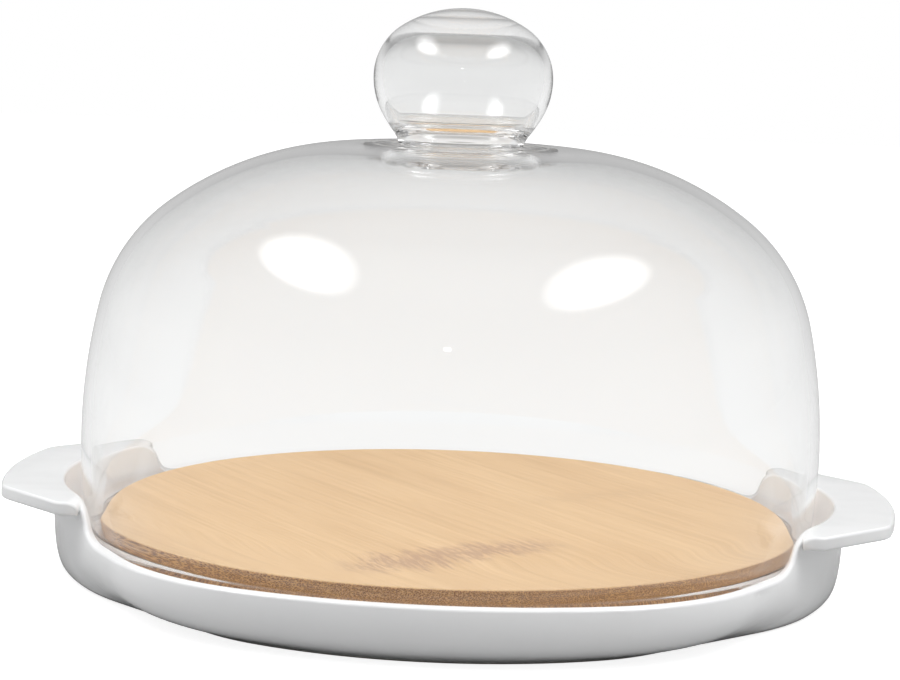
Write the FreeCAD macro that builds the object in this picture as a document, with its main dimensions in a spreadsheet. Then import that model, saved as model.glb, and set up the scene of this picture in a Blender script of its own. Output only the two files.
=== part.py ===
import FreeCAD, Part
import math
import os
import Sketcher
from FreeCAD import Vector

# Cheese dome: a white glazed tray with two lug handles, a round bamboo board lying in its
# well, and a blown glass dome with a hollow knob that stands on the ledge round the board.
# Frame: +Z up, X along the handles, origin on the table under the centre of the tray.

doc = FreeCAD.newDocument("cheese_dome")

# ---------------------------------------------------------------- driving sizes (mm, degrees)
SIZES = [
    ("board_room", 2.825, "between the board and the glass round it"),
    ("board_thickness", 13.8, "bamboo board"),
    ("board_edge_round", 0.8, "sanded edge of the board"),
    ("board_gap", 1.2, "round the board, in its well"),
    ("seat_gap", 0.2, "under the board and under the glass rim"),
    ("foot_height", 4, "hollow under the tray"),
    ("foot_width", 9, "width of the ring that the tray stands on"),
    ("floor_thickness", 5.5, "tray floor under the board"),
    ("well_depth", 5.5, "board's well, below the ledge"),
    ("rim_rise", 5, "front and back rim above the ledge"),
    ("handle_rise", 12.4, "handle tops above the front rim"),
    ("channel_gap", 1.6, "between the glass rim and the front of the cavity"),
    ("finger_room", 7.2, "between the glass rim and each end of the cavity"),
    ("rim_wall", 3.6, "tray wall, across its top"),
    ("cavity_draft", 1.5, "how far the cavity narrows down to the ledge"),
    ("wall_inset", 0.8, "how far the wall has drawn in where it starts to turn under"),
    ("wall_rim_inset", 0.3, "the same at the level of the front rim"),
    ("wall_turn_height", 12.5, "where the wall starts to turn under"),
    ("wall_low_height", 4.5, "a level low on the wall's turn"),
    ("wall_low_share", 0.4, "how far the plan has changed to the underside's there"),
    ("front_curve", 172.3, "plan radius of the cavity's front and back"),
    ("corner_curve", 75.3, "plan radius of the cavity's corners"),
    ("end_curve", 92.3, "plan radius of the cavity's ends"),
    ("front_turn", 19.5, "plan angle where the front passes into the corner"),
    ("base_end_inset", 6.4, "underside's ends, inside the top of the wall"),
    ("base_front_inset", 13.3, "underside's front, inside the top of the wall"),
    ("base_front_curve", 125, "plan radius of the underside's front"),
    ("base_corner_curve", 60, "plan radius of the underside's corners"),
    ("base_end_curve", 84.5, "plan radius of the underside's ends"),
    ("base_front_turn", 25.1, "plan angle where the underside's front passes into its corner"),
    ("dip_end_inset", 22.8, "low front rim's end, inside the cavity's end"),
    ("dip_lower_round", 6, "curve up from the low rim"),
    ("dip_upper_round", 7, "curve over into the handle's level"),
    ("dip_slope", 70, "steepest part of the rim's rise"),
    ("lug_out", 16.6, "handle, out from the wall"),
    ("lug_tip_curve", 150, "plan radius of the handle's tip"),
    ("lug_root_half_width", 61, "handle, where it leaves the wall"),
    ("lug_shoulder_run", 28, "from the handle's tip back to where it starts to narrow"),
    ("lug_corner_round", 14, "plan radius of the handle's corners"),
    ("lug_slant", 45, "plan angle of the handle's shoulders"),
    ("lug_thickness", 4.5, "handle"),
    ("rim_round", 1, "soft glazed edges of rim and handles"),
    ("dome_radius", 125.8, "widest outside radius of the glass"),
    ("dome_height", 134, "glass rim to crown"),
    ("belly_height", 32.6, "widest place above the glass rim"),
    ("wall_curve", 200, "profile radius of the dome's wall"),
    ("shoulder_curve", 60, "profile radius of the dome's shoulder"),
    ("crown_curve", 109, "profile radius of the dome's crown"),
    ("crown_flat", 32.7, "radius of the level top round the knob"),
    ("glass_wall", 3.2, "dome wall"),
    ("crown_thickness", 6, "glass under the knob"),
    ("crown_blend", 7.5, "inside curve from wall to thick crown"),
    ("knob_radius", 30.3, "widest outside radius of the knob"),
    ("knob_height", 46.1, "knob above the crown"),
    ("knob_belly_height", 22.7, "widest place of the knob above the crown"),
    ("knob_shoulder_curve", 20.5, "profile radius of the knob's shoulder"),
    ("knob_lower_curve", 26, "profile radius of the knob's lower half"),
    ("knob_taper", 34, "slope of the knob down to its neck, from upright"),
    ("neck_radius", 21.3, "neck, where the knob is joined to the crown"),
    ("neck_round", 3, "profile curve out of the neck"),
    ("knob_side_wall", 2.6, "glass round the knob's bubble"),
    ("knob_top_wall", 5.5, "glass over the bubble"),
    ("knob_base_wall", 10.2, "glass under the bubble"),
    ("bubble_lower_curve", 13, "profile radius of the bubble's bottom edge"),
    ("bubble_upper_curve", 15, "profile radius of the bubble's shoulder"),
]

sheet = doc.addObject("Spreadsheet::Sheet", "Sizes")
for row, (alias, value, note) in enumerate(SIZES, start=1):
    sheet.set(f"A{row}", note)
    sheet.set(f"B{row}", str(value))
    sheet.setAlias(f"B{row}", alias)
doc.recompute()


def size(expression):
    """The value of an expression in the sheet's names, in mm or degrees."""
    return float(sheet.evalExpression(expression))


# Levels and widths that several pieces share, as expressions in the sheet's names.
FLOOR_TOP = "Sizes.foot_height + Sizes.floor_thickness"
LEDGE = f"{FLOOR_TOP} + Sizes.well_depth"
RIM_TOP = f"{LEDGE} + Sizes.rim_rise"
HANDLE_TOP = f"{RIM_TOP} + Sizes.handle_rise"
BOARD_BOTTOM = f"{FLOOR_TOP} + Sizes.seat_gap"
GLASS_BOTTOM = f"{LEDGE} + Sizes.seat_gap"
GLASS_RIM_RADIUS = ("Sizes.dome_radius - Sizes.wall_curve"
                    " + sqrt(Sizes.wall_curve ^ 2 - Sizes.belly_height ^ 2)")
BOARD_RADIUS = f"{GLASS_RIM_RADIUS} - Sizes.glass_wall - Sizes.board_room"
WELL_RADIUS = f"{BOARD_RADIUS} + Sizes.board_gap"
CAVITY_HALF_WIDTH = f"{GLASS_RIM_RADIUS} + Sizes.channel_gap"
CAVITY_HALF_LENGTH = f"{GLASS_RIM_RADIUS} + Sizes.finger_room"
WALL_OUT = "Sizes.cavity_draft + Sizes.rim_wall"
BASE_HALF_LENGTH = f"{CAVITY_HALF_LENGTH} + {WALL_OUT} - Sizes.base_end_inset"
BASE_HALF_WIDTH = f"{CAVITY_HALF_WIDTH} + {WALL_OUT} - Sizes.base_front_inset"
LUG_REACH = f"{CAVITY_HALF_LENGTH} + {WALL_OUT} + Sizes.lug_out"
LUG_SHOULDER = f"{LUG_REACH} - Sizes.lug_shoulder_run"
DIP_HALF_LENGTH = f"{CAVITY_HALF_LENGTH} - Sizes.dip_end_inset"


# ---------------------------------------------------------------- sketch helpers
def new_body(label):
    body = doc.addObject("PartDesign::Body", label)
    body.Label = label
    return body


def new_sketch(body, name, plane, height=None):
    """A sketch on one of the body's own planes, raised by an expression if height is given."""
    sketch = body.newObject("Sketcher::SketchObject", name)
    origin_plane = next(f for f in body.Origin.OriginFeatures if f.Role == plane)
    sketch.AttachmentSupport = [(origin_plane, "")]
    sketch.MapMode = "FlatFace"
    if height:
        sketch.setExpression("AttachmentOffset.Base.z", height)
    return sketch


def hold(sketch, *constraint, by=None):
    """Add one constraint, and bind its value to an expression when by is given."""
    if by:
        constraint = constraint + (size(by),)
        if constraint[0] == "Angle":
            constraint = constraint[:-1] + (math.radians(constraint[-1]),)
    index = sketch.addConstraint(Sketcher.Constraint(*constraint))
    if by:
        unit = " * 1 deg" if constraint[0] == "Angle" else ""
        sketch.setExpression(f"Constraints[{index}]", f"({by}){unit}")
    return index


def arc(sketch, centre, radius, start, end):
    """An arc from angle start to angle end (radians, anticlockwise)."""
    circle = Part.Circle(Vector(centre[0], centre[1], 0), Vector(0, 0, 1), radius)
    return sketch.addGeometry(Part.ArcOfCircle(circle, start, end), False)


def line(sketch, start, end):
    return sketch.addGeometry(Part.LineSegment(Vector(*start, 0), Vector(*end, 0)), False)


def place(sketch, geometry, point, x=None, y=None):
    """Hold one point of a geometry at x and y, measured from the sketch's origin."""
    for kind, value, axis in (("DistanceX", x, -2), ("DistanceY", y, -1)):
        if value == "0":
            hold(sketch, "PointOnObject", geometry, point, axis)
        elif value:
            hold(sketch, kind, -1, 1, geometry, point, by=value)


START, END, CENTRE = range(1, 4)
RIGHT, UP, LEFT, DOWN = 0, math.pi / 2, math.pi, 3 * math.pi / 2


def plan_sketch(body, name, height, length, width, front, corner, end, front_turn):
    """The tray's oval plan at one height: front arc, corner arc, straight and end arc, four times.

    length and width are half sizes; front, corner and end are radii; front_turn is the angle at
    which the front arc passes into the corner arc. The straight touches the corner and end arcs.
    """
    sketch = new_sketch(body, name, "XY_Plane", height)
    a, b = size(length), size(width)
    r_front, r_corner, r_end = size(front), size(corner), size(end)
    turn = math.radians(size(front_turn))
    # Each quarter starts as the front right one and is turned or mirrored to its place.
    centres = {"front": (0.0, r_front - b), "end": (a - r_end, 0.0)}
    centres["corner"] = ((r_front - r_corner) * math.sin(turn),
                         r_front - b - (r_front - r_corner) * math.cos(turn))
    tilt = between(centres["corner"], centres["end"])
    tilt += math.asin((r_corner - r_end) / math.dist(centres["corner"], centres["end"]))
    away = (math.sin(tilt), -math.cos(tilt))
    corner_point = [centres["corner"][i] + r_corner * away[i] for i in (0, 1)]
    end_point = [centres["end"][i] + r_end * away[i] for i in (0, 1)]

    def quarter(sx, sy):
        def angle(value):
            return math.atan2(sy * math.sin(value), sx * math.cos(value))

        first, second = angle(turn - UP), angle(tilt - UP)
        spans = (first, second) if sx * sy > 0 else (second, first)
        corner_arc = arc(sketch, (sx * centres["corner"][0], sy * centres["corner"][1]),
                         r_corner, *spans)
        straight = line(sketch, (sx * corner_point[0], sy * corner_point[1]),
                        (sx * end_point[0], sy * end_point[1]))
        return corner_arc, straight

    # Anticlockwise from the front arc: front, front right, right end, back right, and so on.
    bottom = arc(sketch, centres["front"], r_front, DOWN - turn, DOWN + turn)
    corner_1, line_1 = quarter(1, 1)
    right = arc(sketch, centres["end"], r_end, tilt - UP, UP - tilt)
    corner_2, line_2 = quarter(1, -1)
    top = arc(sketch, (0.0, b - r_front), r_front, UP - turn, UP + turn)
    corner_3, line_3 = quarter(-1, -1)
    left = arc(sketch, (r_end - a, 0.0), r_end, UP + tilt, DOWN - tilt)
    corner_4, line_4 = quarter(-1, 1)
    joints = [(bottom, END, corner_1, START), (corner_1, END, line_1, START),
              (line_1, END, right, START), (right, END, line_2, END),
              (line_2, START, corner_2, START), (corner_2, END, top, START),
              (top, END, corner_3, START), (corner_3, END, line_3, START),
              (line_3, END, left, START), (left, END, line_4, END),
              (line_4, START, corner_4, START), (corner_4, END, bottom, START)]
    for joint in joints:
        hold(sketch, "Tangent", *joint)
    for piece, sign in ((bottom, ""), (top, "-")):
        place(sketch, piece, CENTRE, x="0", y=f"{sign}(({front}) - ({width}))")
        hold(sketch, "Radius", piece, by=front)
    for piece, sign in ((right, ""), (left, "-")):
        place(sketch, piece, CENTRE, x=f"{sign}(({length}) - ({end}))", y="0")
        hold(sketch, "Radius", piece, by=end)
    hold(sketch, "Radius", corner_1, by=corner)
    for piece in (corner_2, corner_3, corner_4):
        hold(sketch, "Equal", corner_1, piece)
    for piece, sign in ((corner_1, ""), (corner_2, ""), (corner_3, "-"), (corner_4, "-")):
        place(sketch, piece, CENTRE, x=f"{sign}(({front}) - ({corner})) * sin({front_turn})")
    return sketch


def cavity_plan(body, name, height, offset):
    """The tray's plan at one height, a given expression outside the cavity's own plan."""
    grow = f" + {offset}" if offset else ""
    return plan_sketch(body, name, height, f"{CAVITY_HALF_LENGTH}{grow}", f"{CAVITY_HALF_WIDTH}{grow}",
                       f"Sizes.front_curve{grow}", f"Sizes.corner_curve{grow}",
                       f"Sizes.end_curve{grow}", "Sizes.front_turn")


def loft(body, kind, name, sketches):
    feature = body.newObject(f"PartDesign::{kind}Loft", name)
    feature.Profile = sketches[0]
    feature.Sections = sketches[1:]
    return feature


def revolve(body, kind, name, sketch):
    """A full turn of a sketch about its own vertical axis."""
    feature = body.newObject(f"PartDesign::{kind}", name)
    feature.Profile = sketch
    feature.ReferenceAxis = (sketch, ["V_Axis"])
    feature.Angle = 360
    return feature


def circle_sketch(body, name, height, radius):
    sketch = new_sketch(body, name, "XY_Plane", height)
    ring = sketch.addGeometry(Part.Circle(Vector(0, 0, 0), Vector(0, 0, 1), size(radius)), False)
    place(sketch, ring, CENTRE, x="0", y="0")
    hold(sketch, "Radius", ring, by=radius)
    return sketch


# ---------------------------------------------------------------- ceramic tray
def base_plan(body, name, height, inset):
    """The underside's plan, an expression inside its edge."""
    return plan_sketch(body, name, height, f"{BASE_HALF_LENGTH} - {inset}",
                       f"{BASE_HALF_WIDTH} - {inset}", f"Sizes.base_front_curve - {inset}",
                       f"Sizes.base_corner_curve - {inset}", f"Sizes.base_end_curve - {inset}",
                       "Sizes.base_front_turn")


def low_wall_plan(body, name):
    """The wall's plan low on its turn: a mix of the rim's plan and the underside's."""
    def mix(upper, lower):
        return f"({upper}) * (1 - Sizes.wall_low_share) + ({lower}) * Sizes.wall_low_share"

    return plan_sketch(body, name, "Sizes.wall_low_height",
                       mix(f"{CAVITY_HALF_LENGTH} + {WALL_OUT}", BASE_HALF_LENGTH),
                       mix(f"{CAVITY_HALF_WIDTH} + {WALL_OUT}", BASE_HALF_WIDTH),
                       mix(f"Sizes.front_curve + {WALL_OUT}", "Sizes.base_front_curve"),
                       mix(f"Sizes.corner_curve + {WALL_OUT}", "Sizes.base_corner_curve"),
                       mix(f"Sizes.end_curve + {WALL_OUT}", "Sizes.base_end_curve"),
                       mix("Sizes.front_turn", "Sizes.base_front_turn"))


def lug_sketch(body):
    """Both handles in plan: a wide root, slanted shoulders, rounded corners and a shallow tip."""
    sketch = new_sketch(body, "lug_plan", "XY_Plane", HANDLE_TOP)
    reach, tip = size(LUG_REACH), size("Sizes.lug_tip_curve")
    root, shoulder = size("Sizes.lug_root_half_width"), size(LUG_SHOULDER)
    round_ = size("Sizes.lug_corner_round")
    inner = size(BOARD_RADIUS)
    facing = UP - math.radians(size("Sizes.lug_slant"))
    tip_x = reach - tip
    # The corner arc touches the slanted shoulder and, inside it, the tip arc: its centre lies
    # on a line beside the shoulder, at a known distance from the tip arc's centre.
    aside = (shoulder - tip_x) * math.cos(facing) + root * math.sin(facing) - round_
    along = math.sqrt((tip - round_) ** 2 - aside ** 2)
    corner_x = tip_x + aside * math.cos(facing) + along * math.sin(facing)
    corner_y = aside * math.sin(facing) - along * math.cos(facing)
    lean = math.atan2(corner_y, corner_x - tip_x)
    for sx in (1, -1):
        def at(x, y, sx=sx):
            return (sx * x, y)

        def turned(low, high, sx=sx):
            return (low, high) if sx > 0 else (math.pi - high, math.pi - low)

        tip_arc = arc(sketch, at(tip_x, 0), tip, *turned(-lean, lean))
        far_corner = arc(sketch, at(corner_x, corner_y), round_, *turned(lean, facing))
        near_corner = arc(sketch, at(corner_x, -corner_y), round_, *turned(-facing, -lean))
        meet = (corner_x + round_ * math.cos(facing), corner_y + round_ * math.sin(facing))
        far_slant = line(sketch, at(shoulder, root), at(*meet))
        near_slant = line(sketch, at(shoulder, -root), at(meet[0], -meet[1]))
        far_root = line(sketch, at(inner, root), at(shoulder, root))
        near_root = line(sketch, at(inner, -root), at(shoulder, -root))
        inside = line(sketch, at(inner, -root), at(inner, root))
        high, low = (END, START) if sx > 0 else (START, END)
        hold(sketch, "Tangent", tip_arc, high, far_corner, low)
        hold(sketch, "Tangent", tip_arc, low, near_corner, high)
        hold(sketch, "Tangent", far_corner, high, far_slant, END)
        hold(sketch, "Tangent", near_corner, low, near_slant, END)
        hold(sketch, "Coincident", far_slant, START, far_root, END)
        hold(sketch, "Coincident", near_slant, START, near_root, END)
        hold(sketch, "Coincident", far_root, START, inside, END)
        hold(sketch, "Coincident", near_root, START, inside, START)
        hold(sketch, "Horizontal", far_root)
        hold(sketch, "Horizontal", near_root)
        hold(sketch, "Vertical", inside)
        sign = "" if sx > 0 else "-"
        place(sketch, tip_arc, CENTRE, x=f"{sign}({LUG_REACH} - Sizes.lug_tip_curve)", y="0")
        hold(sketch, "Radius", tip_arc, by="Sizes.lug_tip_curve")
        hold(sketch, "Radius", far_corner, by="Sizes.lug_corner_round")
        hold(sketch, "Radius", near_corner, by="Sizes.lug_corner_round")
        place(sketch, far_root, END, x=f"{sign}({LUG_SHOULDER})", y="Sizes.lug_root_half_width")
        place(sketch, near_root, END, x=f"{sign}({LUG_SHOULDER})", y="-Sizes.lug_root_half_width")
        hold(sketch, "Angle", far_slant, by="-Sizes.lug_slant" if sx > 0 else "Sizes.lug_slant - 180")
        hold(sketch, "Angle", near_slant, by="Sizes.lug_slant" if sx > 0 else "180 - Sizes.lug_slant")
        place(sketch, inside, START, x=f"{sign}({BOARD_RADIUS})")
    return sketch


def dip_sketch(body):
    """What is cut from the rim: low over the front and back, rising in an S to each handle."""
    sketch = new_sketch(body, "dip_profile", "XZ_Plane")
    rim, handle = size(RIM_TOP), size(HANDLE_TOP)
    flat, slope = size(DIP_HALF_LENGTH), math.radians(size("Sizes.dip_slope"))
    lower, upper = size("Sizes.dip_lower_round"), size("Sizes.dip_upper_round")
    up = (1 - math.cos(slope)) * lower, (1 - math.cos(slope)) * upper
    run = (handle - rim - up[0] - up[1]) / math.tan(slope)
    first = (flat + lower * math.sin(slope), rim + up[0])
    second = (first[0] + run, handle - up[1])
    edge = second[0] + upper * math.sin(slope)
    above = handle + size("Sizes.handle_rise")
    low_line = line(sketch, (-flat, rim), (flat, rim))
    top_line = line(sketch, (-edge, above), (edge, above))
    for sx, side in ((1, END), (-1, START)):
        def turned(low, high, sx=sx):
            return (low, high) if sx > 0 else (math.pi - high, math.pi - low)

        low_arc = arc(sketch, (sx * flat, rim + lower), lower, *turned(DOWN, DOWN + slope))
        rise = line(sketch, (sx * first[0], first[1]), (sx * second[0], second[1]))
        high_arc = arc(sketch, (sx * edge, handle - upper), upper, *turned(UP, UP + slope))
        wall = line(sketch, (sx * edge, handle), (sx * edge, above))
        near, far = (START, END) if sx > 0 else (END, START)
        hold(sketch, "Tangent", low_line, side, low_arc, near)
        hold(sketch, "Tangent", low_arc, far, rise, START)
        hold(sketch, "Tangent", rise, END, high_arc, far)
        hold(sketch, "Coincident", high_arc, near, wall, START)
        hold(sketch, "Coincident", wall, END, top_line, side)
        hold(sketch, "Vertical", wall)
        sign = "" if sx > 0 else "-"
        place(sketch, low_line, side, x=f"{sign}({DIP_HALF_LENGTH})")
        hold(sketch, "Radius", low_arc, by="Sizes.dip_lower_round")
        hold(sketch, "Radius", high_arc, by="Sizes.dip_upper_round")
        hold(sketch, "Angle", rise, by="Sizes.dip_slope" if sx > 0 else "180 - Sizes.dip_slope")
        place(sketch, high_arc, CENTRE, y=f"{HANDLE_TOP} - Sizes.dip_upper_round")
        hold(sketch, "Vertical", high_arc, CENTRE, high_arc, near)
    hold(sketch, "Horizontal", low_line)
    hold(sketch, "Horizontal", top_line)
    place(sketch, low_line, START, y=RIM_TOP)
    place(sketch, top_line, START, y=f"{HANDLE_TOP} + Sizes.handle_rise")
    return sketch


def pocket(body, name, sketch, depth=None, reverse=False):
    """A cut of a bound depth, or through all both ways when no depth is given."""
    feature = body.newObject("PartDesign::Pocket", name)
    feature.Profile = sketch
    if depth:
        feature.Type = 0
        feature.setExpression("Length", depth)
        feature.Reversed = reverse
    else:
        feature.Type = 1
        feature.Midplane = True
    return feature


# How a face is told by its normal's z, and how near two levels are to be the same one.
UPWARD, LEVEL, UPRIGHT, TOUCHING = 0.3, 0.9, 0.01, 0.01


def soft_edges(shape):
    """The rim's inner and outer edges all round, and both edges of each handle's outline."""
    handle, lug_under = size(HANDLE_TOP), size(f"{HANDLE_TOP} - Sizes.lug_thickness")
    band, sides, unders = [], [], []
    for index, face in enumerate(shape.Faces):
        u0, u1, v0, v1 = face.ParameterRange
        normal = face.normalAt((u0 + u1) / 2, (v0 + v1) / 2)
        box = face.BoundBox
        if normal.z > UPWARD and box.ZMin > size(RIM_TOP) - TOUCHING:
            band.append(index)
        elif normal.z < -LEVEL and abs(box.ZMax - lug_under) < TOUCHING:
            unders.append(index)
        elif (abs(normal.z) < UPRIGHT and abs(box.ZMin - lug_under) < TOUCHING
              and box.ZMax > handle - TOUCHING):
            sides.append(index)
    names = []
    for number, edge in enumerate(shape.Edges, start=1):
        owners = [i for i, face in enumerate(shape.Faces)
                  if any(edge.isSame(other) for other in face.Edges)]
        on_band = sum(i in band for i in owners)
        if on_band == 1 or (any(i in unders for i in owners) and any(i in sides for i in owners)):
            names.append(f"Edge{number}")
    return names


def make_tray():
    body = new_body("ceramic_tray")
    loft(body, "Additive", "outer_wall", [
        base_plan(body, "plan_base", "0", "0"),
        low_wall_plan(body, "plan_low_wall"),
        cavity_plan(body, "plan_wall_turn", "Sizes.wall_turn_height",
                    f"{WALL_OUT} - Sizes.wall_inset"),
        cavity_plan(body, "plan_wall_rim", RIM_TOP, f"{WALL_OUT} - Sizes.wall_rim_inset"),
        cavity_plan(body, "plan_wall_top", HANDLE_TOP, WALL_OUT)])
    lugs = body.newObject("PartDesign::Pad", "handles")
    lugs.Profile = lug_sketch(body)
    lugs.setExpression("Length", "Sizes.lug_thickness")
    lugs.Reversed = True
    above = "Sizes.rim_wall"
    loft(body, "Subtractive", "cavity", [
        cavity_plan(body, "plan_ledge", LEDGE, ""),
        cavity_plan(body, "plan_cavity_top", f"{HANDLE_TOP} + {above}",
                    f"Sizes.cavity_draft * (Sizes.rim_rise + Sizes.handle_rise + {above})"
                    " / (Sizes.rim_rise + Sizes.handle_rise)")])
    pocket(body, "board_well", circle_sketch(body, "well_circle", LEDGE, WELL_RADIUS),
           "Sizes.well_depth")
    pocket(body, "foot_hollow", base_plan(body, "plan_foot", "0", "Sizes.foot_width"),
           "Sizes.foot_height", reverse=True)
    dip = pocket(body, "rim_dip", dip_sketch(body))
    doc.recompute()
    fillet = body.newObject("PartDesign::Fillet", "soft_rim")
    fillet.Base = (dip, soft_edges(dip.Shape))
    fillet.setExpression("Radius", "Sizes.rim_round")
    return body


# ---------------------------------------------------------------- bamboo board
def make_board():
    body = new_body("bamboo_board")
    disc = body.newObject("PartDesign::Pad", "board_disc")
    disc.Profile = circle_sketch(body, "board_circle", BOARD_BOTTOM, BOARD_RADIUS)
    disc.setExpression("Length", "Sizes.board_thickness")
    doc.recompute()
    rims = [f"Edge{n}" for n, edge in enumerate(disc.Shape.Edges, start=1) if edge.isClosed()]
    sanded = body.newObject("PartDesign::Fillet", "sanded_edges")
    sanded.Base = (disc, rims)
    sanded.setExpression("Radius", "Sizes.board_edge_round")
    return body


# ---------------------------------------------------------------- glass dome
def tangent_chain(sketch, pieces):
    """Join the pieces end to end in order; each entry is (geometry, first point, last point)."""
    for (first, _, tail), (second, head, _) in zip(pieces, pieces[1:]):
        hold(sketch, "Tangent", first, tail, second, head)


def between(centre, other):
    """Angle of the line from one centre to another."""
    return math.atan2(other[1] - centre[1], other[0] - centre[0])


def meeting_centre(first, first_reach, second, second_reach):
    """The upper right point at two given distances from two centres."""
    gap = math.dist(first, second)
    along = (first_reach ** 2 - second_reach ** 2 + gap ** 2) / (2 * gap)
    aside = math.sqrt(first_reach ** 2 - along ** 2)
    way = ((second[0] - first[0]) / gap, (second[1] - first[1]) / gap)
    options = [(first[0] + along * way[0] - side * aside * way[1],
                first[1] + along * way[1] + side * aside * way[0]) for side in (1, -1)]
    return max(options, key=lambda point: point[1])


def cap_radius(centre, radius, top):
    """Radius of the arc centred on the axis that tops out at a height and wraps a given arc."""
    rise = top - centre[1]
    return (centre[0] ** 2 + rise ** 2 - radius ** 2) / (2 * (rise - radius))


def make_dome():
    """Wall, shoulder and crown arcs, a fire-rounded rim, and glass gathered under the knob."""
    body = new_body("glass_dome")
    sketch = new_sketch(body, "dome_profile", "XZ_Plane")
    glass, bottom = size("Sizes.glass_wall"), size(GLASS_BOTTOM)
    top = bottom + size("Sizes.dome_height")
    radii = [size(f"Sizes.{name}_curve") for name in ("wall", "shoulder", "crown")]
    wall = (size("Sizes.dome_radius") - radii[0], bottom + size("Sizes.belly_height"))
    crown = (size("Sizes.crown_flat"), top - radii[2])
    shoulder = meeting_centre(wall, radii[0] - radii[1], crown, radii[2] - radii[1])
    to_shoulder, to_crown = between(wall, shoulder), between(crown, shoulder)
    rim_z = bottom + glass / 2
    middle = radii[0] - glass / 2
    low = math.asin((rim_z - wall[1]) / middle)
    outer = [arc(sketch, wall, radii[0], low, to_shoulder),
             arc(sketch, shoulder, radii[1], to_shoulder, to_crown),
             arc(sketch, crown, radii[2], to_crown, UP)]
    inner = [arc(sketch, wall, radii[0] - glass, low, to_shoulder),
             arc(sketch, shoulder, radii[1] - glass, to_shoulder, to_crown),
             arc(sketch, crown, radii[2] - glass, to_crown, UP)]
    rim = arc(sketch, (wall[0] + middle * math.cos(low), rim_z), glass / 2, low + LEFT, low)
    # Inside, two equal arcs lead from the crown down to the thick glass under the knob.
    blend = size("Sizes.crown_blend")
    drop = size("Sizes.crown_thickness") - glass
    sweep = math.acos(1 - drop / (2 * blend))
    foot_x = crown[0] - 2 * blend * math.sin(sweep)
    pad_z = top - glass - drop
    first = arc(sketch, (crown[0], top - glass - blend), blend, UP, UP + sweep)
    second = arc(sketch, (foot_x, pad_z + blend), blend, DOWN, DOWN + sweep)
    flat = line(sketch, (crown[0], top), (0, top))
    axis = line(sketch, (0, top), (0, pad_z))
    pad = line(sketch, (0, pad_z), (foot_x, pad_z))
    tangent_chain(sketch, [(outer[0], START, END), (outer[1], START, END), (outer[2], START, END),
                           (flat, START, END)])
    tangent_chain(sketch, [(rim, END, START), (inner[0], START, END), (inner[1], START, END),
                           (inner[2], START, END)])
    hold(sketch, "Tangent", outer[0], START, rim, END)
    hold(sketch, "Tangent", inner[2], END, first, START)
    hold(sketch, "Tangent", first, END, second, END)
    hold(sketch, "Tangent", second, START, pad, END)
    hold(sketch, "Coincident", flat, END, axis, START)
    hold(sketch, "Coincident", axis, END, pad, START)
    for outside, inside in zip(outer, inner):
        hold(sketch, "Coincident", outside, CENTRE, inside, CENTRE)
    place(sketch, outer[0], CENTRE, x="Sizes.dome_radius - Sizes.wall_curve",
          y=f"{GLASS_BOTTOM} + Sizes.belly_height")
    place(sketch, outer[2], CENTRE, x="Sizes.crown_flat",
          y=f"{GLASS_BOTTOM} + Sizes.dome_height - Sizes.crown_curve")
    for piece, name in zip(outer, ("wall", "shoulder", "crown")):
        hold(sketch, "Radius", piece, by=f"Sizes.{name}_curve")
    hold(sketch, "Radius", inner[0], by="Sizes.wall_curve - Sizes.glass_wall")
    place(sketch, rim, CENTRE, y=f"{GLASS_BOTTOM} + Sizes.glass_wall / 2")
    hold(sketch, "Horizontal", flat)
    place(sketch, flat, END, x="0")
    hold(sketch, "Vertical", axis)
    hold(sketch, "Vertical", inner[2], CENTRE, inner[2], END)
    hold(sketch, "Radius", first, by="Sizes.crown_blend")
    hold(sketch, "Equal", first, second)
    hold(sketch, "Horizontal", pad)
    place(sketch, pad, START, y=f"{GLASS_BOTTOM} + Sizes.dome_height - Sizes.crown_thickness")
    revolve(body, "Revolution", "blown_dome", sketch)
    return body


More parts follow.
